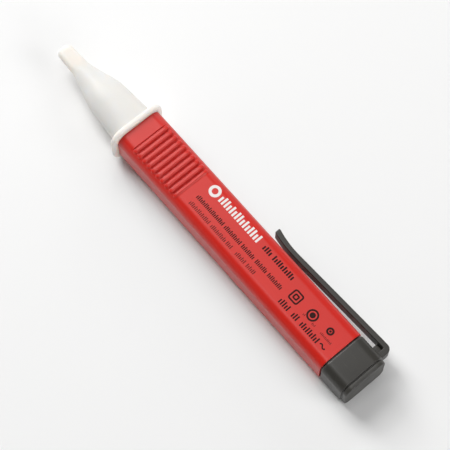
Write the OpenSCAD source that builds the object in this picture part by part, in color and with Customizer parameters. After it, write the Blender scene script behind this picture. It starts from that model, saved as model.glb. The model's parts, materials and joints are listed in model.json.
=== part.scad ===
// Pen-type non-contact voltage tester with a vibration alert.
// The probe tip points to -X, the cap and its pocket clip are at +X.
// The clip is on the +Y side and the ribbed face is up. Z = 0 is the sleeve's flat underside.

/* [Sleeve] */
// Length of the whole tester, blade to cap
total_len = 150; // [148:1:156]
// Width of the sleeve across Y
body_w = 17; // [16.5:0.5:19]
// Height of the sleeve along Z
body_h = 14.4; // [14.4:0.2:16]
// Radius of the sleeve's four long edges
edge_r = 3.5; // [2.5:0.1:4]
// Wall thickness of the sleeve
wall = 1.6; // [1.4:0.1:1.6]
// Where the sleeve starts, measured from the blade's end
sleeve_start = 40.4; // [39:0.2:41]

/* [Probe tip] */
// Half width of the blade near its end
blade_half_w = 2.65; // [2.4:0.05:3]
// Half thickness of the blade near its end
blade_half_t = 1.7; // [1.6:0.05:2]
// Where the blade ends and the cone starts to flare
flare_start = 9.5; // [8.5:0.5:11]
// Where the cone's shoulder ends
flare_end = 27; // [25:1:30]
// How far the flange stands out from the sleeve
flange_out = 1.75; // [1:0.05:2.2]
// Thickness of the flange
flange_t = 2.1; // [1.6:0.1:2.6]
// Wall thickness of the cone
tip_wall = 1.3; // [1:0.1:1.4]

/* [Grip] */
// Number of raised ribs on each face
rib_count = 10; // [4:1:12]
// Distance from one rib to the next
rib_pitch = 2.2; // [2:0.1:2.6]
// Width of a rib along the tester
rib_w = 1.3; // [0.8:0.1:1.6]
// Height of a rib above the face
rib_h = 0.5; // [0.2:0.1:0.6]

/* [Cap and clip] */
// Length of the end cap
cap_len = 11.6; // [11:0.2:13]
// Length of the shallow step round the cap's end
cap_step = 1.9; // [1.4:0.1:2.2]
// Length of the clip's springy arm from its root to its free end
clip_len = 48.4; // [35:0.2:60]
// Height of the clip along Z
clip_h = 5.2; // [3.6:0.2:6.8]
// Thickness of the clip's arm at its root
clip_t = 1.8; // [1.4:0.1:2]
// Clear gap between the clip's root and the cap's side
clip_gap = 2.88; // [2.6:0.02:3.4]

/* [Hidden] */
$fn = 48;

mid_z = body_h / 2;
cap_start = total_len - cap_len;
cavity_w = body_w - 2 * wall;
cavity_h = body_h - 2 * wall;
cavity_r = edge_r - wall;
fit_gap = 0.05;

// Flange and the spigot behind it
flange_start = sleeve_start - flange_t;
flange_rim = 0.45;
spigot_len = 5;
spigot_wall = 0.9;

// Cone: half sizes where the shoulder ends and at the flange
shoulder_half = [7.0, 5.85];
base_half = [7.8, 6.5];
blade_growth = [0.45, 0.15];
corner_share = 0.62;
corner_inset = 0.29;
nose_round = 2;

// Board and the parts on it
board_t = 1;
board_z = mid_z - 0.3;
board_top = board_z + board_t;
board_end = 50;
bulkhead_x = 50.2;
bulkhead_t = 0.8;
rail_y = 5.45;
rail_t = 0.85;
rail_half_h = 3.8;
rail_end = 131;

// Vibration motor under the board
motor_z = 4.85;
motor_r = 1.9;
motor_x = 38.5;
motor_len = 8;
shaft_r = 0.4;

// Two AAA cells in line
cell_r = 5.25;
cell_can_len = 43.6;
button_len = 0.9;
button_r = 1.9;
cells_x = bulkhead_x + bulkhead_t + 0.4;
cell_pitch = cell_can_len + button_len + 0.1;
contact_t = 0.3;

// Cap: shadow gap at the seam, end wall, and the four tongues that slide into the sleeve
seam_gap = 0.35;
cap_end_wall = 1.8;
step_in = 0.35;
end_bevel = 0.35;
tongue_t = 1.2;
tongue_w = 2.5;
tongue_y = 6.1;
tongue_z = 2.75;

// Clip: the arm turns about its root when it is pressed open
clip_root = [total_len - 5.4, body_w / 2 + clip_gap + clip_t / 2];
clip_z = mid_z - clip_h / 2;
clip_lean = 0.0389;
clip_bend = 9.8;
clip_flare = 0.0118;
clip_taper = 0.14;
clip_corner = 2;
clip_fillet = 1;
bridge_t = 2.1;
bridge_end = total_len - 2.25;
web_len = 2.75;
web_h = 2.4;
seat_gap = 0.05;

// Everything below is measured from the blade's end, then centred lengthways
module placed() {
    translate([-total_len / 2, 0, 0]) children();
}

// Rectangle w by h with round corners, centred
module round_rect(w, h, r) {
    square([w - 2 * r, h], center = true);
    square([w, h - 2 * r], center = true);
    for (sy = [-1, 1], sz = [-1, 1])
        translate([sy * (w / 2 - r), sz * (h / 2 - r)]) circle(r);
}

// Round-edged bar along X from x, centred on the sleeve's axis
module bar(x, len, w, h, r) {
    translate([x, 0, mid_z]) rotate([90, 0, 90]) linear_extrude(len) round_rect(w, h, r);
}

// Straight cylinder along X
module rod_x(x, len, r, y = 0, z = mid_z) {
    translate([x, y, z]) rotate([0, 90, 0]) cylinder(h = len, r = r);
}

// Box from its lowest corner, centred in Y
module block(x, len, w, z, h, y = 0) {
    translate([x, y - w / 2, z]) cube([len, w, h]);
}

// Rise from 0 to 1: quick at first, level at the end
function ease(t) = (3 * t * t - 2 * t * t * t + sin(90 * t)) / 2;

// Half size of the nose at x; k = 0 across Y, k = 1 along Z
function nose_tip(x) = x >= nose_round ? 1 : 0.35 + 0.65 * sqrt(1 - pow(1 - x / nose_round, 2));
function nose_blade(x, k) = (k == 0 ? blade_half_w : blade_half_t) + blade_growth[k] * x / flare_start;
function nose_half(x, k) =
    x <= flare_start ? nose_blade(x, k) * nose_tip(x)
    : x <= flare_end ? nose_blade(flare_start, k)
        + (shoulder_half[k] - nose_blade(flare_start, k)) * ease((x - flare_start) / (flare_end - flare_start))
    : shoulder_half[k] + (base_half[k] - shoulder_half[k]) * (x - flare_end) / (flange_start - flare_end);

// Radius that rounds the nose's long corners at x
function nose_radius(x) =
    let (r = corner_inset * corner_share * nose_half(x, 1))
    sqrt(pow(nose_half(x, 0) - r, 2) + pow(nose_half(x, 1) - r, 2));

// Stations along the nose: close together at the round end, wider on the cone
function stations(x0, x1, n) = [for (i = [0 : n]) x0 + (x1 - x0) * i / n];
nose_x = concat(stations(0, nose_round, 6), stations(5, flare_start, 2),
    stations(flare_start + 1.25, flare_end, 13), [flange_start + 0.1]);

// Outline of a slab that is inset from the nose by d, over the stations xs
function slab(xs, k, d) = concat(
    [for (x = xs) [x, nose_half(x, k) - d]],
    [for (i = [len(xs) - 1 : -1 : 0]) [xs[i], d - nose_half(xs[i], k)]]);

module nose_plan(xs, d) {
    translate([0, 0, -body_h]) linear_extrude(3 * body_h) polygon(slab(xs, 0, d));
}

module nose_side(xs, d) {
    translate([0, body_w, mid_z]) rotate([90, 0, 0]) linear_extrude(2 * body_w) polygon(slab(xs, 1, d));
}

module nose_round_body() {
    profile = concat([[0, 0]], [for (x = nose_x) [nose_radius(x), x]], [[0, nose_x[len(nose_x) - 1]]]);
    translate([0, 0, mid_z]) rotate([0, 90, 0]) rotate_extrude($fn = 64) polygon(profile);
}

module nose_outside() {
    intersection() {
        nose_plan(nose_x, 0);
        nose_side(nose_x, 0);
        nose_round_body();
    }
}

module nose_inside() {
    cavity_x = concat(stations(11, flare_end, 5), [flange_start + 0.2]);
    intersection() {
        nose_plan(cavity_x, tip_wall);
        nose_side(cavity_x, tip_wall);
    }
    block(4.5, 7, 3.2, mid_z - 0.8, 1.6);
}

module flange() {
    grow = 2 * flange_out;
    bar(flange_start, flange_t, body_w + grow - 2 * flange_rim, body_h + grow - 2 * flange_rim,
        edge_r + flange_out - flange_rim);
    bar(flange_start + flange_rim, flange_t - flange_rim - 0.3, body_w + grow, body_h + grow,
        edge_r + flange_out);
}

// White moulding: blade, cone, flange and the spigot that plugs into the sleeve
module probe_tip() color("whitesmoke") placed() {
    inner_w = cavity_w - 2 * fit_gap - 2 * spigot_wall;
    inner_h = cavity_h - 2 * fit_gap - 2 * spigot_wall;
    difference() {
        union() {
            nose_outside();
            flange();
            bar(sleeve_start - 0.5, spigot_len + 0.5, cavity_w - 2 * fit_gap, cavity_h - 2 * fit_gap,
                cavity_r - fit_gap);
        }
        nose_inside();
        bar(flange_start - 0.2, flange_t + spigot_len + 1, inner_w, inner_h, cavity_r - spigot_wall);
    }
}

// Ribs of one face: the sleeve's own section, grown a little and cut to the face
module ribs() {
    first = sleeve_start + 5.9;
    span = body_w - 3.2;
    for (i = [0 : rib_count - 1])
        intersection() {
            bar(first + i * rib_pitch, rib_w, body_w + 2 * rib_h, body_h + 2 * rib_h, edge_r + rib_h);
            block(first + i * rib_pitch - 1, rib_w + 2, span, body_h - 1.3, 3);
        }
}

// Red sleeve with the grip ribs on its top and underside
module body_sleeve() color("firebrick") placed() {
    len = cap_start - sleeve_start;
    difference() {
        union() {
            bar(sleeve_start, len, body_w, body_h, edge_r);
            ribs();
            translate([0, 0, body_h]) mirror([0, 0, 1]) ribs();
        }
        bar(sleeve_start - 1, len + 2, cavity_w, cavity_h, cavity_r);
    }
}

// Outline of the cap's stepped end seen along one axis, with its two corners cut off
module bevelled(half) {
    low = half - end_bevel;
    polygon([[cap_start, -half], [total_len - end_bevel, -half], [total_len, -low],
        [total_len, low], [total_len - end_bevel, half], [cap_start, half]]);
}

// Lug that joins the clip to the cap's side, with the seat in which the arm's root turns
module clip_lug() {
    side = body_w / 2;
    inner_x = bridge_end - bridge_t;
    outer_y = clip_root[1] + clip_t / 2;
    translate([0, 0, clip_z]) linear_extrude(clip_h) difference() {
        union() {
            translate([inner_x, side - wall / 2])
                square([bridge_t, outer_y - clip_corner - side + wall / 2]);
            intersection() {
                translate([bridge_end - clip_corner, outer_y - clip_corner]) circle(clip_corner);
                translate([inner_x, side]) square(clip_corner + 5);
            }
            translate([clip_root[0] + 0.15, outer_y - clip_t])
                square([inner_x - clip_root[0] + 0.4, clip_t]);
            difference() {
                translate([inner_x - clip_fillet, side - wall / 2])
                    square([clip_fillet + 0.1, clip_fillet + wall / 2]);
                translate([inner_x - clip_fillet, side + clip_fillet]) circle(clip_fillet);
            }
        }
        translate(clip_root) circle(clip_t / 2 + seat_gap);
    }
    translate([inner_x - web_len, side - wall / 2, clip_z])
        cube([web_len + 0.1, wall / 2 + clip_gap - 0.12, web_h]);
}

// Dark cap: hollow box with a stepped end, a shadow gap, four tongues and the clip's lug
module end_cap() color("dimgray") placed() {
    front = cap_start + seam_gap;
    difference() {
        union() {
            bar(front, total_len - cap_step - front, body_w, body_h, edge_r);
            intersection() {
                bar(total_len - cap_step - 0.1, cap_step + 0.1, body_w - 2 * step_in, body_h - 2 * step_in,
                    edge_r - step_in);
                translate([0, 0, -1]) linear_extrude(body_h + 2) bevelled(body_w / 2 - step_in);
                translate([0, body_w, mid_z]) rotate([90, 0, 0]) linear_extrude(2 * body_w)
                    bevelled(body_h / 2 - step_in);
            }
            bar(cap_start, seam_gap + 0.1, body_w - 2 * seam_gap, body_h - 2 * seam_gap, edge_r - seam_gap);
            clip_lug();
        }
        bar(cap_start - 1, cap_len - cap_end_wall + 1, cavity_w, cavity_h, cavity_r);
    }
    for (sy = [-1, 1], sz = [-1, 1])
        block(cap_start - 6.4, 8, tongue_t, mid_z + sz * tongue_z - tongue_w / 2, tongue_w, sy * tongue_y);
}

// Centre line of the clip's arm at a distance d from its root, and its thickness there
function arm_y(d) = clip_root[1] - clip_lean * d + clip_flare * pow(max(0, d - clip_len + clip_bend), 2);
function arm_t(d) = clip_t - clip_taper * min(1, d / 40) + 0.35 * pow(max(0, d - clip_len + 9) / 9, 2);

// Springy arm of the pocket clip; its round root turns in the cap's lug
module pocket_clip() color("dimgray") placed() {
    steps = 22;
    d = [for (i = [0 : steps]) clip_len * i / steps];
    outer = [for (v = d) [clip_root[0] - v, arm_y(v) + arm_t(v) / 2]];
    inner = [for (i = [steps : -1 : 0]) [clip_root[0] - d[i], arm_y(d[i]) - arm_t(d[i]) / 2]];
    translate([0, 0, clip_z]) linear_extrude(clip_h) {
        polygon(concat(outer, inner));
        translate(clip_root) circle(clip_t / 2);
        translate([clip_root[0] - clip_len, arm_y(clip_len)]) circle(arm_t(clip_len) / 2);
    }
}

// Frame inside the sleeve: two side rails and the bulkhead in front of the cells
module inner_frame() color("gray") placed() {
    for (side = [-1, 1])
        block(45.8, rail_end - 45.8, rail_t, mid_z - rail_half_h, 2 * rail_half_h,
            side * (rail_y + rail_t / 2));
    difference() {
        block(bulkhead_x, bulkhead_t, 2 * rail_y + 0.2, mid_z - 5.2, 10.4);
        block(bulkhead_x - 1, bulkhead_t + 2, 2.4, board_top + 0.1, 0.5);
    }
}

// Board: narrow tongue in the blade, then two wider steps
module circuit_board() color("darkgreen") placed() {
    union() {
        block(13, 8.1, 4.4, board_z, board_t);
        block(21, 17.1, 8.8, board_z, board_t);
        block(38, board_end - 38, 10.4, board_z, board_t);
    }
}

// Thin brass strip that feels the field in front of the board
module sensing_strip() color("gold") placed()
    block(5, 8, 2.4, board_z + 0.3, 0.4);

// Small lamp with a domed front and a rim at its back
module indicator_light() color("tomato") placed() {
    z = board_top + 1.8;
    union() {
        translate([26.5, 0, z]) sphere(1.5);
        rod_x(26.5, 4, 1.5, 0, z);
        rod_x(29.9, 0.9, 1.75, 0, z);
    }
}

module light_leads() color("silver") placed() {
    z = board_top + 1.8;
    for (side = [-1, 1]) union() {
        rod_x(30.8, 2.2, 0.25, side * 1.27, z);
        translate([33, side * 1.27, board_top]) cylinder(h = z + 0.25 - board_top, r = 0.25);
    }
}

// Round sounder with its outlet hole
module sounder() color("#202020") placed() {
    translate([45, 0, board_top]) difference() {
        cylinder(h = 3, r = 4.25);
        translate([0, 0, 2]) cylinder(h = 2, r = 0.8);
    }
}

module controller_chip() color("#252525") placed()
    block(35.2, 5, 3.9, board_top, 1.4, -2.3);

module amplifier_chip() color("#252525") placed()
    block(35.6, 3, 3, board_top, 1.1, 2.4);

// Six chip resistors in two rows across the front of the board
module chip_resistors() color("#303030") placed() {
    for (i = [0 : 2], side = [-1, 1])
        block(21.6 + 1.3 * i, 0.8, 1.6, board_top, 0.5, side * 3.2);
}

// Four chip capacitors under the board
module chip_capacitors() color("tan") placed() {
    for (i = [0 : 3])
        block(24 + 3 * i, 2, 1.25, board_z - 0.9, 0.9, 1.5);
}

// Motor can with a bore right through for its shaft
module motor_can() color("silver") placed() {
    difference() {
        rod_x(motor_x, motor_len, motor_r, 0, motor_z);
        rod_x(motor_x - 1, motor_len + 2, shaft_r + fit_gap, 0, motor_z);
    }
}

// Soft block that holds the motor down
module motor_cradle() color("#1c1c1c") placed() {
    difference() {
        block(39.6, 4.8, 6.4, 2.68, 3.3);
        rod_x(38, 9, motor_r + 0.02, 0, motor_z);
    }
}

module motor_shaft() color("silver") placed()
    rod_x(motor_x + 0.3, 11.2, shaft_r, 0, motor_z);

// Half-round weight, bored for the shaft
module motor_weight() color("darkgray") placed() {
    x = motor_x + motor_len + 0.7;
    difference() {
        rod_x(x, 2.2, 1.8, 0, motor_z);
        block(x - 1, 5, 5, motor_z + 0.7, 5);
        rod_x(x - 1, 5, shaft_r, 0, motor_z);
    }
}

module motor_pins() color("gold") placed() {
    for (side = [-1, 1])
        block(motor_x - 0.8, 0.8, 0.5, motor_z, board_z - motor_z, side * 1);
}

// Plate that meets the front cell, with a tab through the bulkhead to the board
module front_contact() color("gold") placed() {
    union() {
        block(bulkhead_x + bulkhead_t, contact_t, 7, mid_z - 3.5, 7);
        block(bulkhead_x - 0.4, bulkhead_t + 0.5, 2, board_top + 0.2, contact_t);
    }
}

// Strip along the +Y rail that carries the cap's contact forward
module return_strip() color("gold") placed()
    block(46, cap_start - 46.4, contact_t, mid_z - 1.2, 2.4, rail_y + rail_t + 0.25);

// Can of the i-th cell
module cell(i) {
    rod_x(cells_x + button_len + i * cell_pitch, cell_can_len, cell_r);
}

module cell_button(i) {
    rod_x(cells_x + i * cell_pitch, button_len, button_r);
}

module front_cell() color("darkslategray") placed() cell(0);
module front_cell_button() color("silver") placed() cell_button(0);
module rear_cell() color("darkslategray") placed() cell(1);
module rear_cell_button() color("silver") placed() cell_button(1);

// Conical contact spring, a wire swept along a tapering helix by formula
module contact_spring() color("silver") placed() {
    wire_r = 0.3;
    turns = 4.5;
    sides = 8;
    rings = 72;
    small_r = 2.4;
    big_r = 4.2;
    x0 = cells_x + 2 * cell_pitch + 0.35;
    x1 = total_len - cap_end_wall - contact_t - wire_r;
    at = function (i) let (t = i / rings, a = 360 * turns * t, r = small_r + (big_r - small_r) * t)
        [x0 + (x1 - x0) * t, r * cos(a), mid_z + r * sin(a)];
    points = [for (i = [0 : rings], j = [0 : sides - 1])
        let (a = 360 * turns * i / rings, b = 360 * j / sides)
        at(i) + wire_r * [sin(b), cos(b) * cos(a), cos(b) * sin(a)]];
    faces = concat(
        [[for (j = [0 : sides - 1]) j]],
        [[for (j = [sides - 1 : -1 : 0]) rings * sides + j]],
        [for (i = [0 : rings - 1], j = [0 : sides - 1]) let (n = (j + 1) % sides)
            [i * sides + j, (i + 1) * sides + j, (i + 1) * sides + n, i * sides + n]]);
    polyhedron(points, faces);
}

// Plate at the bottom of the cap, with a side tab that reaches the return strip
module spring_plate() color("gold") placed() {
    x = total_len - cap_end_wall - contact_t;
    union() {
        block(x, contact_t, 10.6, mid_z - 4.6, 9.2);
        block(x, contact_t, 3, mid_z - 1.2, 2.4, 5.2);
        block(cap_start + 0.1, x - cap_start + 0.1, contact_t, mid_z - 1.2, 2.4, 6.55);
    }
}

probe_tip();
body_sleeve();
end_cap();
pocket_clip();
inner_frame();
circuit_board();
sensing_strip();
indicator_light();
light_leads();
sounder();
controller_chip();
amplifier_chip();
chip_resistors();
chip_capacitors();
motor_can();
motor_cradle();
motor_shaft();
motor_weight();
motor_pins();
front_contact();
return_strip();
front_cell();
front_cell_button();
rear_cell();
rear_cell_button();
contact_spring();
spring_plate();
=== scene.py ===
"""Looks of a pen-type non-contact voltage tester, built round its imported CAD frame.

Lengths in the dataclasses are millimetres, measured from the blade's end along the tester
and from the sleeve's flat underside upwards, as in the part's source. Meshes are in metres.
"""

import json
import logging
import math
from dataclasses import dataclass, field
from enum import Enum

import bpy
import numpy as np
from mathutils import Matrix, Vector


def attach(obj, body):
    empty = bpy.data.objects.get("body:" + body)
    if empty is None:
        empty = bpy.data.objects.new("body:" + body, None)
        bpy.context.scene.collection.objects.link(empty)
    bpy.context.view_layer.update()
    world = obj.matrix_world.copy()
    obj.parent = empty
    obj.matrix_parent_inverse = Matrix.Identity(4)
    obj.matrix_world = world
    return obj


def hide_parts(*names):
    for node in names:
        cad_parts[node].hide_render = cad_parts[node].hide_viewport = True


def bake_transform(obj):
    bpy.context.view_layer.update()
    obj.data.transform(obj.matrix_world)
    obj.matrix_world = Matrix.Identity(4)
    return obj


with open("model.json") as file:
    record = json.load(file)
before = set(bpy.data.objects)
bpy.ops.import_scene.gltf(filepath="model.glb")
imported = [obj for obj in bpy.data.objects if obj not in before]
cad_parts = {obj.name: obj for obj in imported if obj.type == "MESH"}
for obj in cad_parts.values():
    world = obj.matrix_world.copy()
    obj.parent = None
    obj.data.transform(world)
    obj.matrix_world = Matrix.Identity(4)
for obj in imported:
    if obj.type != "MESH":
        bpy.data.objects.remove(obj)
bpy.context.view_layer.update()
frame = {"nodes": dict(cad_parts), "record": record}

MM = 0.001
TOTAL_LEN = 150.0
BODY_W = 17.0
BODY_H = 14.4
EDGE_R = 3.5
MID_Z = BODY_H / 2
CAVITY = (6.9, 5.6, 1.9)

log = logging.getLogger("tester")

Color = tuple[float, float, float]


# ---------------------------------------------------------------- meshes


def to_frame(points: np.ndarray) -> np.ndarray:
    """Turns millimetres from the blade's end into metres in the row frame.

    Args:
        points: array whose last axis is x, y, z in millimetres.

    Returns:
        The same points in metres, with x counted from half way along the tester.
    """
    return (points - np.array([TOTAL_LEN / 2, 0.0, 0.0])) * MM


def signed_volume(verts: np.ndarray, tris: np.ndarray) -> float:
    """Volume that the triangles enclose, negative if they face inwards."""
    a, b, c = (verts[tris[:, i]] for i in range(3))
    return float(np.einsum("ij,ij->i", a, np.cross(b, c)).sum() / 6)


@dataclass
class Shell:
    """Vertices and faces of one or more closed surfaces that become one object."""

    verts: list[np.ndarray] = field(default_factory=list)
    quads: list[np.ndarray] = field(default_factory=list)
    tris: list[np.ndarray] = field(default_factory=list)
    count: int = 0

    def add(self, verts: np.ndarray, quads: np.ndarray, tris: np.ndarray) -> None:
        """Adds one closed surface and turns its faces outwards.

        Args:
            verts: (n, 3) points in millimetres.
            quads: (q, 4) corner indices, or an empty array.
            tris: (t, 3) corner indices, or an empty array.
        """
        quads = quads.reshape(-1, 4)
        tris = tris.reshape(-1, 3)
        split = np.concatenate([tris, quads[:, [0, 1, 2]], quads[:, [0, 2, 3]]])
        if signed_volume(verts - verts.mean(0), split) < 0:
            quads, tris = quads[:, ::-1], tris[:, ::-1]
        self.verts.append(verts)
        self.quads.append(quads + self.count)
        self.tris.append(tris + self.count)
        self.count += len(verts)

    def grid(self, rows: np.ndarray, ends: bool = True) -> None:
        """Adds a tube of rows, each a closed ring of points.

        Args:
            rows: (m, n, 3) points in millimetres; ring i joins ring i + 1.
            ends: True closes both ends with a fan to the ring's middle, False joins the
                last ring to the first, as on a hollow shell whose profile comes back.
        """
        m, n, _ = rows.shape
        index = np.arange(m * n).reshape(m, n)
        lower, upper = (index[:-1], index[1:]) if ends else (index, np.roll(index, -1, 0))
        quads = np.stack([lower, np.roll(lower, -1, 1), np.roll(upper, -1, 1), upper], -1)
        verts = rows.reshape(-1, 3)
        tris = np.zeros((0, 3), int)
        if ends:
            verts = np.concatenate([verts, rows[[0, -1]].mean(1)])
            first, last = index[0], index[-1]
            fan_a = np.stack([np.roll(first, -1), first, np.full(n, m * n)], -1)
            fan_b = np.stack([last, np.roll(last, -1), np.full(n, m * n + 1)], -1)
            tris = np.concatenate([fan_a, fan_b])
        self.add(verts, quads, tris)

    def build(self, name: str, sharp_deg: float = 180.0) -> bpy.types.Object:
        """Makes the object, in the row frame and shaded smooth.

        Args:
            name: the piece's name.
            sharp_deg: edges that turn more than this are shaded sharp.

        Returns:
            The linked object.
        """
        mesh = bpy.data.meshes.new(name)
        verts = to_frame(np.concatenate(self.verts))
        faces = np.concatenate(self.quads).tolist() + np.concatenate(self.tris).tolist()
        mesh.from_pydata(verts.tolist(), [], faces)
        mesh.polygons.foreach_set("use_smooth", np.ones(len(faces), bool))
        if sharp_deg < 180.0:
            mesh.set_sharp_from_angle(angle=math.radians(sharp_deg))
        mesh.update()
        piece = bpy.data.objects.new(name, mesh)
        bpy.context.scene.collection.objects.link(piece)
        log.info("%s: %d faces", name, len(faces))
        return piece


@dataclass(frozen=True)
class RoundedOutline:
    """Outline of a rounded rectangle, with the same number of points whatever its size."""

    across: int = 12
    along: int = 6
    arc: int = 8

    def directions(self) -> tuple[np.ndarray, np.ndarray, np.ndarray, np.ndarray]:
        """Place on the straight sides and direction of the round corner, point by point.

        Returns:
            side_y and side_z, from -1 to 1 along the inner rectangle, and the cosine and
            sine of the outward direction.
        """
        flat_z = np.linspace(-1, 1, self.along + 1)[:-1]
        flat_y = np.linspace(1, -1, self.across + 1)[:-1]
        turn = np.linspace(0, 90, self.arc + 1)[:-1]
        parts = [
            (np.ones_like(flat_z), flat_z, np.zeros_like(flat_z)),
            (np.ones_like(turn), np.ones_like(turn), turn),
            (flat_y, np.ones_like(flat_y), np.full_like(flat_y, 90)),
            (-np.ones_like(turn), np.ones_like(turn), turn + 90),
            (-np.ones_like(flat_z), -flat_z, np.full_like(flat_z, 180)),
            (-np.ones_like(turn), -np.ones_like(turn), turn + 180),
            (-flat_y, -np.ones_like(flat_y), np.full_like(flat_y, 270)),
            (np.ones_like(turn), -np.ones_like(turn), turn + 270),
        ]
        side_y, side_z, angle = (np.concatenate([p[i] for p in parts]) for i in range(3))
        return side_y, side_z, np.cos(np.radians(angle)), np.sin(np.radians(angle))

    def points(self, half_w: np.ndarray, half_h: np.ndarray, radius: np.ndarray) -> np.ndarray:
        """Outlines of the given sizes.

        The point is the inner rectangle's side, half size less radius, times the place on
        it, plus the radius along the outward direction.

        Args:
            half_w: (m,) half widths.
            half_h: (m,) half heights.
            radius: (m,) corner radii.

        Returns:
            (m, n, 2) points.
        """
        side_y, side_z, cos, sin = self.directions()
        w, h, r = (np.atleast_1d(v).astype(float)[:, None] for v in (half_w, half_h, radius))
        return np.stack([(w - r) * side_y + r * cos, (h - r) * side_z + r * sin], -1)


def bars(outline: RoundedOutline, table: np.ndarray, lift: np.ndarray | None = None) -> np.ndarray:
    """Rounded rectangles stood across the tester's axis.

    Args:
        outline: the outline to repeat.
        table: (m, 4) rows of x, half width, half height and corner radius.
        lift: (m, n) distance to push each point outwards, or None.

    Returns:
        (m, n, 3) rings of points in millimetres.
    """
    ring = outline.points(table[:, 1], table[:, 2], table[:, 3])
    if lift is not None:
        _, _, cos, sin = outline.directions()
        ring = ring + lift[..., None] * np.stack([cos, sin], -1)
    x = np.broadcast_to(table[:, 0, None], ring.shape[:2])
    return np.stack([x, ring[..., 0], ring[..., 1] + MID_Z], -1)


def inset_rows(x: np.ndarray, inset: np.ndarray, base: tuple[float, float, float]) -> np.ndarray:
    """Rows of a bar table that follow a base section, drawn in by inset.

    Args:
        x: (m,) places along the tester.
        inset: (m,) how far each section is drawn in; negative stands out.
        base: half width, half height and corner radius of the base section.

    Returns:
        (m, 4) rows for bars().
    """
    x, inset = np.broadcast_arrays(np.asarray(x, float), np.asarray(inset, float))
    return np.stack([x, base[0] - inset, base[1] - inset, base[2] - inset], -1)


def quarter(steps: int) -> np.ndarray:
    """Angles from 0 to 90 degrees, in radians."""
    return np.radians(np.linspace(0, 90, steps))


def turned(profile: np.ndarray, y: float, z: float, sides: int = 64) -> np.ndarray:
    """Profile turned round an axis along X.

    Args:
        profile: (m, 2) rows of x and radius.
        y: the axis's place across the tester.
        z: the axis's height.
        sides: points in each ring.

    Returns:
        (m, sides, 3) rings: centre plus radius times the cosine and sine of the angle.
    """
    angle = np.linspace(0, 2 * np.pi, sides, endpoint=False)
    x = np.broadcast_to(profile[:, 0, None], (len(profile), sides))
    return np.stack([x, y + profile[:, 1, None] * np.cos(angle),
                     z + profile[:, 1, None] * np.sin(angle)], -1)


def smooth(t: np.ndarray) -> np.ndarray:
    """Rise from 0 to 1 that is level at both ends, three t squared less two t cubed."""
    t = np.clip(t, 0, 1)
    return t * t * (3 - 2 * t)


# ---------------------------------------------------------------- finishes


class Graph:
    """Short way to place and join the nodes of one node tree."""

    def __init__(self, tree: bpy.types.NodeTree) -> None:
        """Keeps the tree and empties it."""
        self.tree = tree
        self.tree.nodes.clear()
        self.count = 0

    def node(self, kind: str, settings: dict | None = None, **inputs: object) -> bpy.types.Node:
        """Places a node, sets its properties and fills or joins its inputs.

        Args:
            kind: the node's type name, without the ShaderNode prefix where it has one.
            settings: properties of the node itself.
            inputs: input name, with spaces as underscores, to a value or an output socket;
                a name such as _0 means the input of that number.

        Returns:
            The node.
        """
        prefix = "" if kind.startswith("Node") else "ShaderNode"
        made = self.tree.nodes.new(prefix + kind)
        made.location = (220 * (self.count % 8), -260 * (self.count // 8))
        self.count += 1
        for key, value in (settings or {}).items():
            setattr(made, key, value)
        for key, value in inputs.items():
            name = int(key[1:]) if key[0] == "_" else key.replace("_", " ")
            socket = made.inputs[name]
            if isinstance(value, bpy.types.NodeSocket):
                self.tree.links.new(value, socket)
            elif isinstance(value, tuple) and len(value) == 3 and socket.type == "RGBA":
                socket.default_value = (*value, 1.0)
            else:
                socket.default_value = value
        return made

    def math(self, operation: str, a: object, b: object = 0.0) -> bpy.types.NodeSocket:
        """Places a Math node and returns its result."""
        return self.node("Math", {"operation": operation}, _0=a, _1=b).outputs[0]

    def mix(self, share: object, a: object, b: object) -> bpy.types.NodeSocket:
        """Places a colour Mix node and returns its result."""
        made = self.node("Mix", {"data_type": "RGBA"}, _0=share, _6=a, _7=b)
        return made.outputs[2]

    def remap(self, value: object, lo: float, hi: float, to_lo: float, to_hi: float) -> bpy.types.NodeSocket:
        """Places a clamped Map Range node and returns its result."""
        made = self.node("MapRange", None, Value=value, From_Min=lo, From_Max=hi,
                         To_Min=to_lo, To_Max=to_hi)
        return made.outputs[0]


class Effect(Enum):
    """Shared shader groups, by name."""

    GRAIN = "moulded_grain"
    HANDLING = "handling_marks"
    EDGES = "edge_rub_and_glint"
    DRAWN = "drawn_metal"


def new_group(effect: Effect, inputs: dict[str, float], outputs: list[str]) -> tuple[Graph, object, object]:
    """Makes an empty shader group whose outputs are plain values.

    Args:
        effect: the group's name.
        inputs: input names and their default values.
        outputs: output names.

    Returns:
        The graph and its input and output nodes.
    """
    tree = bpy.data.node_groups.new(effect.value, "ShaderNodeTree")
    for name, value in inputs.items():
        socket = tree.interface.new_socket(name=name, in_out="INPUT", socket_type="NodeSocketFloat")
        socket.default_value = value
    for name in outputs:
        tree.interface.new_socket(name=name, in_out="OUTPUT", socket_type="NodeSocketFloat")
    graph = Graph(tree)
    return graph, graph.node("NodeGroupInput"), graph.node("NodeGroupOutput")


def build_grain() -> None:
    """Fine spark-eroded grain of a mould: two sizes of noise, the coarse one faint."""
    graph, source, sink = new_group(Effect.GRAIN, {"Grain per metre": 5000.0}, ["Height", "Speck"])
    place = graph.node("TexCoord").outputs["Object"]
    coarse_scale = graph.math("MULTIPLY", source.outputs[0], 0.3)
    fine = graph.node("TexNoise", None, Vector=place, Scale=source.outputs[0], Detail=2.0, Roughness=0.6)
    coarse = graph.node("TexNoise", None, Vector=place, Scale=coarse_scale, Detail=1.0)
    height = graph.math("ADD", fine.outputs["Fac"], graph.math("MULTIPLY", coarse.outputs["Fac"], 0.35))
    graph.tree.links.new(height, sink.inputs["Height"])
    graph.tree.links.new(graph.remap(fine.outputs["Fac"], 0.42, 0.6, 0.0, 1.0), sink.inputs["Speck"])


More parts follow.
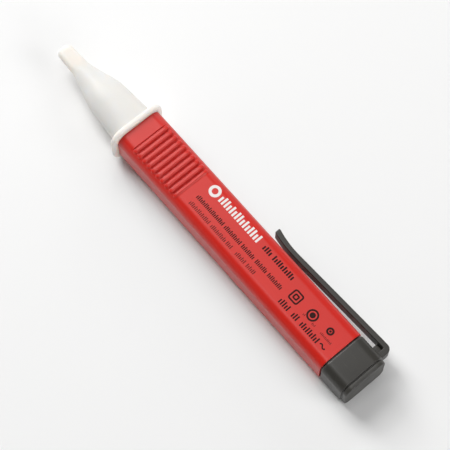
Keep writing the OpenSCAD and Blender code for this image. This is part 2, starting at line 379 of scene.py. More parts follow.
def build_handling() -> None:
    """Marks of use: broad soft patches, and short fine scratches along the tester."""
    graph, source, sink = new_group(Effect.HANDLING, {"Scratch amount": 1.0}, ["Patch", "Scratch"])
    place = graph.node("TexCoord").outputs["Object"]
    patch = graph.node("TexNoise", None, Vector=place, Scale=85.0, Detail=3.0, Roughness=0.55)
    graph.tree.links.new(graph.remap(patch.outputs["Fac"], 0.3, 0.7, 0.0, 1.0), sink.inputs["Patch"])
    turn = graph.node("Mapping", None, Vector=place, Rotation=(0.0, 0.0, 0.35), Scale=(160.0, 3200.0, 3200.0))
    line = graph.node("TexNoise", None, Vector=turn.outputs[0], Scale=1.0, Detail=2.0, Roughness=0.5)
    thin = graph.remap(line.outputs["Fac"], 0.665, 0.72, 0.0, 1.0)
    graph.tree.links.new(graph.math("MULTIPLY", thin, source.outputs[0]), sink.inputs["Scratch"])


def build_edges() -> None:
    """Lighter outside edges from the surface's pointiness, broken up by noise: partly worn edges, partly a
    painted edge highlight.
    """
    graph, source, sink = new_group(Effect.EDGES, {"Reach": 1.0}, ["Rub", "Hollow"])
    place = graph.node("TexCoord").outputs["Object"]
    point = graph.node("NewGeometry").outputs["Pointiness"]
    noise = graph.node("TexNoise", None, Vector=place, Scale=900.0, Detail=3.0).outputs["Fac"]
    high = graph.remap(point, 0.515, 0.6, 0.0, 1.0)
    broken = graph.math("MULTIPLY", high, graph.remap(noise, 0.35, 0.65, 0.35, 1.0))
    graph.tree.links.new(graph.math("MULTIPLY", broken, source.outputs[0]), sink.inputs["Rub"])
    graph.tree.links.new(graph.remap(point, 0.49, 0.42, 0.0, 1.0), sink.inputs["Hollow"])


def build_drawn() -> None:
    """Fine lines of drawn or turned metal: noise stretched along one axis."""
    graph, source, sink = new_group(Effect.DRAWN, {"Lines per metre": 9000.0}, ["Line", "Cloud"])
    place = graph.node("TexCoord").outputs["Object"]
    across = graph.node("CombineXYZ", None, X=graph.math("MULTIPLY", source.outputs[0], 0.03),
                        Y=source.outputs[0], Z=source.outputs[0])
    stretched = graph.node("VectorMath", {"operation": "MULTIPLY"}, _0=place, _1=across.outputs[0])
    line = graph.node("TexNoise", None, Vector=stretched.outputs[0], Scale=1.0, Detail=2.0)
    cloud = graph.node("TexNoise", None, Vector=place, Scale=400.0, Detail=2.0)
    graph.tree.links.new(line.outputs["Fac"], sink.inputs["Line"])
    graph.tree.links.new(cloud.outputs["Fac"], sink.inputs["Cloud"])


def place_group(graph: Graph, effect: Effect, **inputs: float) -> bpy.types.Node:
    """Places a shared group in a material with its own input values."""
    made = graph.node("Group", {"node_tree": bpy.data.node_groups[effect.value]})
    for key, value in inputs.items():
        made.inputs[key.replace("_", " ")].default_value = value
    return made


@dataclass(frozen=True)
class MouldedPlastic:
    """Moulded plastic with a fine grain, soft patches, and lighter edges that are partly worn and partly a
    painted highlight.

    Attributes:
        base: main colour.
        shade: colour of the patches.
        rubbed_and_glint: colour of scratches and of lighter edges, partly worn and partly a painted edge
            highlight.
        roughness: middle value of the roughness.
        grain: grains per metre.
        depth_mm: depth of the grain.
        glow: share of light that passes under the surface.
        glow_mm: how far that light travels.
        rub_and_glint: how strongly edges are lightened, partly as worn edges and partly as a painted
            highlight.
        scratches: how many scratches show.
        coat: strength of a clear skin on top.
        shine: specular level, 0.5 for an ordinary plastic.
        far_bounce: colour that things some way off receive from it, or None for its own.
    """

    base: Color
    shade: Color
    rubbed_and_glint: Color
    roughness: float = 0.4
    grain: float = 5000.0
    depth_mm: float = 0.008
    glow: float = 0.0
    glow_mm: float = 1.0
    rub_and_glint: float = 0.5
    scratches: float = 0.5
    coat: float = 0.0
    shine: float = 0.5
    far_bounce: Color | None = None

    def dress(self, material: bpy.types.Material) -> None:
        """Builds the finish in a material's node tree."""
        graph = Graph(material.node_tree)
        grain = place_group(graph, Effect.GRAIN, Grain_per_metre=self.grain)
        marks = place_group(graph, Effect.HANDLING, Scratch_amount=self.scratches)
        edges = place_group(graph, Effect.EDGES, Reach=self.rub_and_glint)
        patched = graph.mix(marks.outputs["Patch"], self.base, self.shade)
        specked = graph.mix(graph.math("MULTIPLY", grain.outputs["Speck"], 0.25), patched, self.shade)
        # Convex edges are lightened towards the edge colour: partly worn edges, partly a painted edge
        # highlight; scratches add to it.
        wear_and_glint = graph.math("MAXIMUM", edges.outputs["Rub"],
                          graph.math("MULTIPLY", marks.outputs["Scratch"], 0.35))
        colour = graph.mix(wear_and_glint, specked, self.rubbed_and_glint)
        if self.far_bounce:
            path = graph.node("LightPath")
            far = graph.remap(path.outputs["Ray Length"], 2.5 * MM, 8.0 * MM, 0.0, 1.0)
            far = graph.math("MULTIPLY", far, path.outputs["Is Diffuse Ray"])
            colour = graph.mix(far, colour, self.far_bounce)
        rough = graph.remap(marks.outputs["Patch"], 0.0, 1.0, self.roughness * 0.9, self.roughness * 1.12)
        rough = graph.math("ADD", rough, graph.math("MULTIPLY", grain.outputs["Speck"], 0.03))
        bump = graph.node("Bump", None, Strength=1.0, Distance=self.depth_mm * MM,
                          Height=grain.outputs["Height"])
        shader = graph.node("BsdfPrincipled", None, Base_Color=colour, Roughness=rough,
                            Normal=bump.outputs[0])
        shader.inputs["Subsurface Weight"].default_value = self.glow
        shader.inputs["Subsurface Radius"].default_value = (1.0, 0.88, 0.76)
        shader.inputs["Subsurface Scale"].default_value = self.glow_mm * MM
        shader.inputs["Coat Weight"].default_value = self.coat
        shader.inputs["Coat Roughness"].default_value = 0.25
        shader.inputs["Specular IOR Level"].default_value = self.shine
        graph.node("OutputMaterial", None, Surface=shader.outputs[0])


@dataclass(frozen=True)
class PlatedMetal:
    """Thin plated or drawn metal with fine lines and faint tarnish.

    Attributes:
        base: main colour.
        tarnish: colour of the duller patches.
        roughness: middle value of the roughness.
        lines: lines per metre.
        depth_mm: depth of the lines.
    """

    base: Color
    tarnish: Color
    roughness: float = 0.25
    lines: float = 9000.0
    depth_mm: float = 0.003

    def dress(self, material: bpy.types.Material) -> None:
        """Builds the finish in a material's node tree."""
        graph = Graph(material.node_tree)
        drawn = place_group(graph, Effect.DRAWN, Lines_per_metre=self.lines)
        dull = graph.remap(drawn.outputs["Cloud"], 0.35, 0.7, 0.0, 0.6)
        colour = graph.mix(dull, self.base, self.tarnish)
        rough = graph.remap(drawn.outputs["Line"], 0.3, 0.7, self.roughness * 0.7, self.roughness * 1.4)
        bump = graph.node("Bump", None, Strength=1.0, Distance=self.depth_mm * MM,
                          Height=drawn.outputs["Line"])
        shader = graph.node("BsdfPrincipled", None, Base_Color=colour, Roughness=rough,
                            Normal=bump.outputs[0])
        shader.inputs["Metallic"].default_value = 1.0
        graph.node("OutputMaterial", None, Surface=shader.outputs[0])


@dataclass(frozen=True)
class BoardLaminate:
    """Solder mask over glass laminate, with copper tracks that show as lighter lines.

    Attributes:
        mask: colour of the mask over bare laminate.
        track: colour of the mask over copper.
        pitch_mm: distance from one track to the next.
    """

    mask: Color
    track: Color
    pitch_mm: float = 1.1

    def dress(self, material: bpy.types.Material) -> None:
        """Builds the finish in a material's node tree."""
        graph = Graph(material.node_tree)
        place = graph.node("TexCoord").outputs["Object"]
        bend = graph.node("TexVoronoi", {"distance": "MANHATTAN"}, Vector=place, Scale=260.0)
        wave = graph.node("TexWave", {"bands_direction": "Y"}, Vector=place,
                          Scale=0.157 / (self.pitch_mm * MM),
                          Distortion=0.0)
        cells = graph.remap(bend.outputs["Distance"], 0.3, 0.34, 0.0, 1.0)
        tracks = graph.remap(wave.outputs["Fac"], 0.62, 0.7, 0.0, 1.0)
        share = graph.math("MULTIPLY", cells, tracks)
        colour = graph.mix(share, self.mask, self.track)
        weave = graph.node("TexNoise", None, Vector=place, Scale=2500.0, Detail=1.0)
        height = graph.math("ADD", share, graph.math("MULTIPLY", weave.outputs["Fac"], 0.2))
        rough = graph.remap(weave.outputs["Fac"], 0.3, 0.7, 0.22, 0.34)
        bump = graph.node("Bump", None, Strength=1.0, Distance=0.02 * MM, Height=height)
        shader = graph.node("BsdfPrincipled", None, Base_Color=colour, Roughness=rough,
                            Normal=bump.outputs[0])
        graph.node("OutputMaterial", None, Surface=shader.outputs[0])


@dataclass(frozen=True)
class CellJacket:
    """Printed film round a cell: two bands of colour with a metallic sheen.

    Attributes:
        body: colour of the long band.
        band: colour of the short band at the button's end.
        band_mm: length of the short band in each cell.
        starts_mm: where each cell's can begins, from the blade's end.
    """

    body: Color
    band: Color
    band_mm: float
    starts_mm: tuple[float, ...]

    def dress(self, material: bpy.types.Material) -> None:
        """Builds the finish in a material's node tree."""
        graph = Graph(material.node_tree)
        place = graph.node("TexCoord").outputs["Object"]
        x = graph.node("SeparateXYZ", None, Vector=place).outputs["X"]
        share: object = 0.0
        for start in self.starts_mm:
            begin = (start - TOTAL_LEN / 2) * MM
            end = begin + self.band_mm * MM
            inside = graph.math("MULTIPLY", graph.math("GREATER_THAN", x, begin),
                                graph.math("LESS_THAN", x, end))
            share = graph.math("MAXIMUM", share, inside)
        drawn = place_group(graph, Effect.DRAWN, Lines_per_metre=3000.0)
        marks = place_group(graph, Effect.HANDLING, Scratch_amount=1.0)
        colour = graph.mix(share, self.body, self.band)
        colour = graph.mix(graph.math("MULTIPLY", marks.outputs["Scratch"], 0.3), colour, (0.6, 0.6, 0.58))
        rough = graph.remap(drawn.outputs["Cloud"], 0.3, 0.7, 0.24, 0.36)
        bump = graph.node("Bump", None, Strength=0.5, Distance=0.01 * MM, Height=drawn.outputs["Line"])
        shader = graph.node("BsdfPrincipled", None, Base_Color=colour, Roughness=rough,
                            Normal=bump.outputs[0])
        shader.inputs["Metallic"].default_value = 0.35
        shader.inputs["Coat Weight"].default_value = 0.4
        graph.node("OutputMaterial", None, Surface=shader.outputs[0])


WHITE = MouldedPlastic((0.84, 0.806, 0.765), (0.82, 0.783, 0.737), (0.87, 0.848, 0.82), roughness=0.42,
                       depth_mm=0.005, glow=1.0, glow_mm=2.6, rub_and_glint=0.2, scratches=0.15, shine=0.25)
RED = MouldedPlastic((0.63, 0.017, 0.009), (0.59, 0.015, 0.008), (0.72, 0.07, 0.055), roughness=0.34,
                     depth_mm=0.007, rub_and_glint=0.2, scratches=0.12, far_bounce=(0.18, 0.15, 0.15))
# The dark finish's light edge colour and strong edge reach paint a highlight along the rounded edges of the
# cap and clip, such as the lip by the cap's seam.
DARK = MouldedPlastic((0.034, 0.0315, 0.0265), (0.029, 0.027, 0.023), (0.16, 0.15, 0.132), roughness=0.42,
                      depth_mm=0.010, rub_and_glint=0.9, scratches=0.4)

FINISHES: dict[str, object] = {
    "white_plastic": WHITE,
    "red_plastic": RED,
    "dark_plastic": DARK,
    "frame_plastic": MouldedPlastic((0.30, 0.30, 0.29), (0.27, 0.27, 0.26), (0.42, 0.42, 0.41)),
    "board_laminate": BoardLaminate((0.012, 0.11, 0.045), (0.035, 0.22, 0.09)),
    "contact_brass": PlatedMetal((0.80, 0.62, 0.33), (0.62, 0.43, 0.20)),
    "lamp_red": MouldedPlastic((0.62, 0.03, 0.02), (0.58, 0.03, 0.02), (0.75, 0.2, 0.15), roughness=0.12,
                               depth_mm=0.001, glow=0.5, glow_mm=1.5, coat=0.6),
    "plated_steel": PlatedMetal((0.66, 0.65, 0.62), (0.45, 0.44, 0.42)),
    "spring_steel": PlatedMetal((0.58, 0.57, 0.55), (0.40, 0.39, 0.37), roughness=0.3),
    "sounder_black": MouldedPlastic((0.022, 0.022, 0.022), (0.018, 0.018, 0.018), (0.07, 0.07, 0.07)),
    "chip_black": MouldedPlastic((0.028, 0.028, 0.029), (0.022, 0.022, 0.023), (0.09, 0.09, 0.09),
                                 roughness=0.5),
    "capacitor_tan": MouldedPlastic((0.50, 0.36, 0.22), (0.44, 0.31, 0.19), (0.62, 0.52, 0.4),
                                    roughness=0.35),
    "cradle_rubber": MouldedPlastic((0.025, 0.025, 0.025), (0.03, 0.03, 0.03), (0.08, 0.08, 0.08),
                                    roughness=0.75,
                                    depth_mm=0.02),
    "weight_metal": PlatedMetal((0.40, 0.385, 0.36), (0.27, 0.26, 0.25), roughness=0.42),
    "cell_jacket": CellJacket((0.05, 0.10, 0.17), (0.55, 0.56, 0.58), 9.0, (52.3, 96.9)),
    "print_black": MouldedPlastic((0.024, 0.008, 0.007), (0.03, 0.010, 0.009), (0.2, 0.02, 0.02),
                                  roughness=0.6,
                                  depth_mm=0.002, rub_and_glint=0.0, shine=0.12),
    "print_faint": MouldedPlastic((0.09, 0.010, 0.009), (0.11, 0.011, 0.010), (0.3, 0.02, 0.02),
                                  roughness=0.6,
                                  depth_mm=0.002, rub_and_glint=0.0, shine=0.2),
    "print_white": MouldedPlastic((0.84, 0.79, 0.77), (0.80, 0.74, 0.72), (0.8, 0.5, 0.48), roughness=0.45,
                                  depth_mm=0.002, rub_and_glint=0.0),
}


class Paintbox:
    """Makes each finish's material once and puts it on pieces and CAD nodes."""

    def __init__(self) -> None:
        """Builds the shared groups and the materials."""
        for build in (build_grain, build_handling, build_edges, build_drawn):
            build()
        self.materials: dict[str, bpy.types.Material] = {}
        for name, finish in FINISHES.items():
            material = bpy.data.materials.new(name)
            material.use_nodes = True
            finish.dress(material)
            self.materials[name] = material

    def paint(self, piece: bpy.types.Object, slot: str, finish: str | None = None) -> None:
        """Gives a new piece its material: the given finish's where there is one, else the slot's own.

        Args:
            piece: the new piece.
            slot: the record's material slot.
            finish: the finish, where it isn't the slot's own.
        """
        piece.data.materials.clear()
        piece.data.materials.append(self.materials[finish or slot])

    def paint_nodes(self) -> None:
        """Gives every CAD node that still shows its slot's material."""
        for row in frame["record"]["subparts"]:
            node = frame["nodes"][row["node"]]
            if node.hide_render:
                continue
            if not node.material_slots:
                node.data.materials.append(None)
            for place in node.material_slots:
                place.material = self.materials[row["material_slot"]]
            log.info("%s: CAD node in %s", row["node"], row["material_slot"])


# ---------------------------------------------------------------- outside pieces


@dataclass
class ProbeTip:
    """White tip: flat blade, flared cone, flange and the spigot inside the sleeve."""

    blade_half: tuple[float, float] = (2.65, 1.70)
    blade_growth: tuple[float, float] = (0.45, 0.15)
    flare_start: float = 9.5
    flare_end: float = 27.0
    shoulder: tuple[float, float] = (7.0, 5.85)
    base: tuple[float, float] = (7.8, 6.5)
    end_round: float = 2.3
    flare_power: float = 0.28
    flare_lead: float = 2.5
    oval_share: float = 0.93
    start: float = 0.35
    flange_start: float = 38.3
    flange_end: float = 40.4
    flange_out: float = 1.75
    rim_r: float = 0.95
    back_r: float = 0.9
    root_r: float = 0.6
    spigot_end: float = 45.4
    spigot_wall: float = 0.9
    wall: float = 1.3

    def half(self, x: np.ndarray, k: int) -> np.ndarray:
        """Half size of the nose at x.

        Along the blade it grows in a straight line, and the end is a superellipse. Over
        the flare it rises by the mean of a smooth step and a sine, softened where it
        leaves the blade, and from the shoulder to the flange it is straight again.

        Args:
            x: places along the tester.
            k: 0 for the width, 1 for the height.

        Returns:
            The half size at each x.
        """
        blade = self.blade_half[k] + self.blade_growth[k] * np.minimum(x, self.flare_start) / self.flare_start
        power = (2.3, 2.0)[k]
        near = np.clip(1 - (x - self.start) / self.end_round, 0, 1)
        blade = blade * (1 - near ** power) ** (1 / power)
        t = np.clip((x - self.flare_start) / (self.flare_end - self.flare_start), 0, 1)
        rise = (smooth(t) + np.sin(t * np.pi / 2)) / 2
        soft = np.clip((x - self.flare_start) / 1.6, 0, 1)
        rise = rise * (1 - (1 - soft) ** 2 * 0.9)
        run = np.clip((x - self.flare_end) / (self.flange_start - self.flare_end), 0, 1)
        return blade + (self.shoulder[k] - self.blade_half[k] - self.blade_growth[k]) * rise + (
            self.base[k] - self.shoulder[k]) * run

    def nose_table(self, x: np.ndarray, inset: float = 0.0) -> np.ndarray:
        """Bar table of the nose, with corners in proportion to its height, rounder on the blade."""
        w, h = self.half(x, 0) - inset, self.half(x, 1) - inset
        share = 0.8 - 0.22 * smooth((x - self.flare_start) / 6)
        return np.stack([x, w, h, np.minimum(h * share, w * 0.9)], -1)

    def rounded(self, rings: np.ndarray, x: np.ndarray) -> np.ndarray:
        """Turns the nose's rounded rectangles towards ellipses behind the blade.

        Each point keeps its direction from the ring's middle. Its distance goes from the
        rectangle's to that of an ellipse with the same half sizes, by a share that rises
        smoothly behind the blade and falls again towards the flange. Along the flare the
        ellipse's power is under two, which leaves a soft crest along the top.

        Args:
            rings: (m, n, 3) rings in millimetres.
            x: (m,) places along the tester.

        Returns:
            The rings with the share of each ellipse mixed in.
        """
        middle = np.array([0.0, MID_Z])
        arm = rings[..., 1:] - middle
        half = np.abs(arm).max(1, keepdims=True)
        crest = smooth((x - self.flare_start + self.flare_lead) / 3) * (1 - smooth((x - 18) / 3))
        power = (2 - self.flare_power * crest)[:, None, None]
        reach = ((np.abs(arm) / half) ** power).sum(-1, keepdims=True) ** (1 / power)
        share = smooth((x - self.flare_start + self.flare_lead) / 5.0) * (1 - 0.25 * smooth((x - 26) / 12))
        share = np.where(x > self.flange_start - 0.05, 0.0, share * self.oval_share)[:, None, None]
        mixed = arm * (1 - share + share / np.maximum(reach, 1e-6))
        return np.concatenate([rings[..., :1], mixed + middle], -1)

    def outside(self) -> np.ndarray:
        """Rows from the blade's end to the spigot's end, over the flange's rounded rim."""
        near_end = self.start + self.end_round * (1 - np.cos(quarter(16)[1:]))
        cone = np.linspace(near_end[-1], self.flange_start - self.root_r, 110)[1:]
        nose = self.nose_table(np.concatenate([near_end, cone]))
        foot = nose[-1, 1:]
        angle = quarter(6)[1:]
        root = inset_rows(self.flange_start - self.root_r + self.root_r * np.sin(angle),
                          -self.root_r * (1 - np.cos(angle)), tuple(foot))
        full = (BODY_W / 2 + self.flange_out, BODY_H / 2 + self.flange_out, EDGE_R + self.flange_out)
        lip = inset_rows([self.flange_start], [self.rim_r], full)[0]
        face = np.linspace(root[-1], lip, 6)[1:-1]
        angle = quarter(9)
        front = inset_rows(self.flange_start + self.rim_r * (1 - np.sin(angle[::-1])),
                           self.rim_r * (1 - np.cos(angle[::-1])), full)
        back = inset_rows(self.flange_end - self.back_r * (1 - np.sin(angle)),
                          self.back_r * (1 - np.cos(angle)), full)
        inner = (CAVITY[0] - 0.05, CAVITY[1] - 0.05, CAVITY[2] - 0.05)
        step = np.linspace(back[-1], inset_rows([self.flange_end], [0.0], inner)[0], 5)[1:]
        spigot = inset_rows([self.flange_end + 0.2, self.spigot_end - 0.2, self.spigot_end], [0, 0, 0.2],
                            inner)
        return np.concatenate([nose, root, face, front, back, step, spigot])

    def inside(self) -> np.ndarray:
        """Rows of the hollow, from the spigot's end forward to the blade."""
        inner = tuple(v - 0.05 - self.spigot_wall for v in CAVITY[:2]) + (1.0,)
        spigot = inset_rows([self.spigot_end, self.spigot_end - 0.1, self.flange_start + 0.3], [0.1, 0, 0],
                            inner)
        cone = self.nose_table(np.linspace(self.flange_start - 0.3, 11.0, 26), self.wall)
        return np.concatenate([spigot, cone])

    def build(self, paint: Paintbox) -> bpy.types.Object:
        """Makes the tip as one closed shell and puts it on the tester."""
        shell = Shell()
        table = np.concatenate([self.outside(), self.inside()])
        rings = bars(RoundedOutline(16, 10, 16), table)
        shell.grid(self.rounded(rings, table[:, 0]))
        piece = shell.build("probe_tip_shell")
        paint.paint(piece, "white_plastic")
        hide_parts("probe_tip")
        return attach(piece, "tester")


@dataclass
class Sleeve:
    """Red one-piece sleeve with raised grip ribs on its upper and lower faces."""

    start: float = 40.4
    end: float = 138.4
    rim_r: float = 0.14
    rib_count: int = 10
    rib_first: float = 46.3
    rib_pitch: float = 2.2
    rib_h: float = 0.4
    recess: float = 0.32
    rib_half: float = 0.84
    front_wall: float = 0.42
    back_wall: float = 0.65
    wall_power: float = 2.2
    front_top: float = 0.85
    lead_in: tuple[float, float] = (0.4, 0.2)
    rib_reach: float = 7.2
    groove_fade: tuple[float, float] = (0.3, 1.1)

    def rib_lift(self, x: np.ndarray, outline: RoundedOutline) -> np.ndarray:
        """Height of the ribs and depth of the grooves in front of them.

        Each rib is a stadium in the plane of x and the distance round the section from the
        face's middle. Across its wall, which is steep in front and a long round shoulder
        behind, the height falls from the rib's top by a power of the way across. The top
        itself slopes up from the front wall to the middle. In front of each rib a groove
        goes below the sleeve's surface and fades out towards the rib's ends. Behind the
        last rib there is no groove, and the height falls by a smooth step.

        Args:
            x: (m,) places along the tester.
            outline: the outline whose points are lifted.

        Returns:
            (m, n) heights, negative in the grooves.
        """
        side_y, side_z, cos, sin = outline.directions()
        flat = BODY_W / 2 - EDGE_R
        turn = np.abs(np.arctan2(cos, np.abs(sin)))
        reach = (np.abs(flat * side_y) + EDGE_R * turn)[None]
        on_face = ((np.abs(side_z) > 0.999) & (np.abs(sin) > 0.2))[None]
        before, ramp = self.lead_in
        fade_end, fade = self.groove_fade
        number = np.clip(np.floor((x - self.rib_first + before) / self.rib_pitch), 0, self.rib_count - 1)
        along = (x - self.rib_first - number * self.rib_pitch)[:, None]
        past = np.maximum(reach - (self.rib_reach - self.rib_half), 0)
        inside = self.rib_half - np.sqrt((along - self.rib_half) ** 2 + past ** 2)
        wall = np.where(along < self.rib_half, self.front_wall, self.back_wall)
        last = (number[:, None] == self.rib_count - 1) & (along > self.rib_half)
        rise = 1 - (1 - np.clip(inside / wall, 0, 1)) ** self.wall_power
        rise = np.where(last, smooth(inside / self.rib_half), rise)
        groove = np.where(last, 0.0, smooth((along + before) / ramp))
        groove = groove * smooth((self.rib_reach - fade_end - reach) / fade)
        top = self.rib_h * (self.front_top + (1 - self.front_top) * np.clip(along / self.rib_half, 0, 1))
        return np.where(on_face, rise * top - (1 - rise) * self.recess * groove, 0.0)

    def build(self, paint: Paintbox) -> bpy.types.Object:
        """Makes the sleeve as one closed tube and puts it on the tester."""
        outline = RoundedOutline(30, 8, 26)
        full = (BODY_W / 2, BODY_H / 2, EDGE_R)
        angle = quarter(6)
        ribs_end = self.rib_first + self.rib_pitch * self.rib_count
        x = np.concatenate([
            np.linspace(self.start + self.rim_r + 0.5, self.rib_first - 0.9, 6),
            np.arange(self.rib_first - 0.8, ribs_end, 0.07),
            np.linspace(ribs_end + 0.5, self.end - self.rim_r - 0.6, 34)])
        front = inset_rows(self.start + self.rim_r * (1 - np.cos(angle)), self.rim_r * (1 - np.sin(angle)),
                           full)
        back = inset_rows(self.end - self.rim_r * (1 - np.cos(angle[::-1])),
                          self.rim_r * (1 - np.sin(angle[::-1])), full)
        inner = inset_rows([self.end, self.end - 0.15, self.start + 0.15, self.start], [-0.15, 0, 0, -0.15],
                           CAVITY)
        table = np.concatenate([front, inset_rows(x, np.zeros(len(x)), full), back, inner])
        lift = np.zeros((len(table), len(outline.directions()[0])))
        lift[len(front):len(front) + len(x)] = self.rib_lift(x, outline)
        shell = Shell()
        shell.grid(bars(outline, table, lift), ends=False)
        piece = shell.build("sleeve_shell")
        paint.paint(piece, "red_plastic")
        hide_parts("body_sleeve")
        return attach(piece, "tester")


@dataclass
class EndCap:
    """Dark cap with a shadow gap at its seam, a shallow step round its end and four tongues."""

    start: float = 138.4
    seam: float = 0.42
    seam_depth: float = 0.7
    lip: tuple[float, float] = (0.7, 0.42)
    step: float = 1.9
    step_in: float = 0.35
    step_groove: float = 0.25
    groove_out: tuple[float, float] = (0.1, 0.35)
    edge_r: float = 0.32
    root_r: float = 0.18
    end_r: float = 0.45
    end_wall: float = 1.8
    tongue: tuple[float, float, float] = (8.0, 1.2, 2.5)
    tongue_y: float = 6.1
    tongue_z: float = 2.75
    web: tuple[float, float, float] = (142.9, 4.6, 2.4)
    web_reach: tuple[float, float] = (8.1, 11.26)

    def outside(self) -> np.ndarray:
        """Rows from the seam to the end face's middle, over the step and its soft edges."""
        full = (BODY_W / 2, BODY_H / 2, EDGE_R)
        front = self.start + self.seam
        up, down = quarter(9), quarter(9)[::-1]
        deep = self.seam_depth
        neck = inset_rows([self.start, self.start + 0.05, front - 0.02], [deep + 0.05, deep, deep], full)
        lip = inset_rows(front + self.lip[0] * (1 - np.sin(down)), self.lip[1] * (1 - np.cos(down)), full)
        ledge = TOTAL_LEN - self.step
        shoulder = inset_rows(ledge - self.edge_r * (1 - np.sin(up)), self.edge_r * (1 - np.cos(up)), full)
        low = self.step_in + self.step_groove
        root = inset_rows(ledge + self.root_r * (1 - np.cos(up)), low - self.root_r * (1 - np.sin(up)), full)
        gap, run = self.groove_out
        way = np.linspace(0, 1, 7)[1:]
        crest = inset_rows(ledge + self.root_r + gap + run * way, low - self.step_groove * smooth(way), full)
        last = inset_rows(TOTAL_LEN - self.end_r * (1 - np.sin(up)),
                          self.step_in + self.end_r * (1 - np.cos(up)), full)
        shrink = np.linspace(1, 0.04, 9)[1:, None]
        face = last[-1] * np.concatenate([np.ones_like(shrink), np.repeat(shrink, 3, 1)], 1)
        return np.concatenate([neck, lip, shoulder, root, crest, last, face])

    def inside(self) -> np.ndarray:
        """Rows of the hollow, from its bottom to the seam."""
        bottom = TOTAL_LEN - self.end_wall
        grow = np.linspace(0.04, 1, 8)[:, None]
        base = np.array([[bottom, CAVITY[0] - 0.3, CAVITY[1] - 0.3, CAVITY[2] - 0.3]])
        floor = base * np.concatenate([np.ones_like(grow), np.repeat(grow, 3, 1)], 1)
        wall = inset_rows([bottom - 0.3, self.start + 0.1, self.start], [0, 0, -0.1], CAVITY)
        return np.concatenate([floor, wall])

    def build(self, paint: Paintbox) -> bpy.types.Object:
        """Makes the cap, its tongues and its web as one piece and puts it on the cap's body."""
        shell = Shell()
        outside = bars(RoundedOutline(16, 12, 14), self.outside())
        inside = bars(RoundedOutline(16, 12, 14), self.inside())
        shell.grid(np.concatenate([inside, outside]))
        length, thick, wide = self.tongue
        for side in (-1, 1):
            for level in (-1, 1):
                shell_block(shell, (self.start - 6.4, side * self.tongue_y - thick / 2,
                                    MID_Z + level * self.tongue_z - wide / 2), (length, thick, wide), 0.3)
        x, z, height = self.web
        low, high = self.web_reach
        shell_block(shell, (x, low, z), (3.0, high - low, height), 0.3)
        piece = shell.build("end_cap_shell", 40.0)
        paint.paint(piece, "dark_plastic")
        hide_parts("end_cap")
        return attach(piece, "cap")


def shell_block(shell: Shell, low: tuple[float, float, float], size: tuple[float, float, float],
                r: float) -> None:
    """Adds a block along X with rounded long edges and softened ends.

    Args:
        shell: where it is added.
        low: its lowest corner.
        size: its length, width and height.
        r: radius of its edges.
    """
    outline = RoundedOutline(4, 4, 5)
    angle = quarter(5)
    half = (size[1] / 2, size[2] / 2)
    soft = min(r, min(half) * 0.9)
    cut = soft * 0.8
    x = np.concatenate([low[0] + cut * (1 - np.cos(angle)),
                        low[0] + size[0] - cut * (1 - np.cos(angle[::-1]))])
    inset = np.concatenate([cut * (1 - np.sin(angle)), cut * (1 - np.sin(angle[::-1]))])
    table = inset_rows(x, inset, (half[0], half[1], soft))
    rings = bars(outline, table)
    shell.grid(rings + np.array([0, low[1] + half[0], low[2] + half[1] - MID_Z]))


